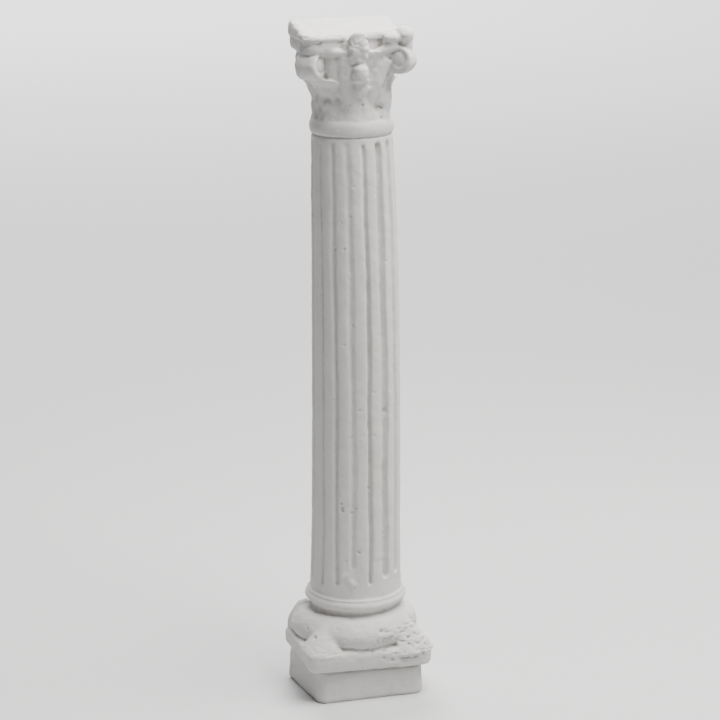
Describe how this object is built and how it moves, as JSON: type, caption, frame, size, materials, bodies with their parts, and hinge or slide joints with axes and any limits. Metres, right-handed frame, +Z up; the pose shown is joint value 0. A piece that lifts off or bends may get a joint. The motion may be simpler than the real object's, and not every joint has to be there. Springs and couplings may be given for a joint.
{
  "type": "half column",
  "caption": "Small cast half column with fluted shaft, leafy scrolled capital and stepped square base, flat at the back to stand against a wall.",
  "frame": {"origin": "on the underside, on the axis of the shaft", "axes": "+Z up along the shaft, -Y towards the front, +X to the viewer's right, flat back facing +Y"},
  "size_m": [0.0356, 0.0208, 0.1697],
  "materials": {
    "plaster": "unpainted white casting plaster, dull, with fine air pits"
  },
  "bodies": {
    "root": {"half_column": "plaster"}
  },
  "joints": []
}
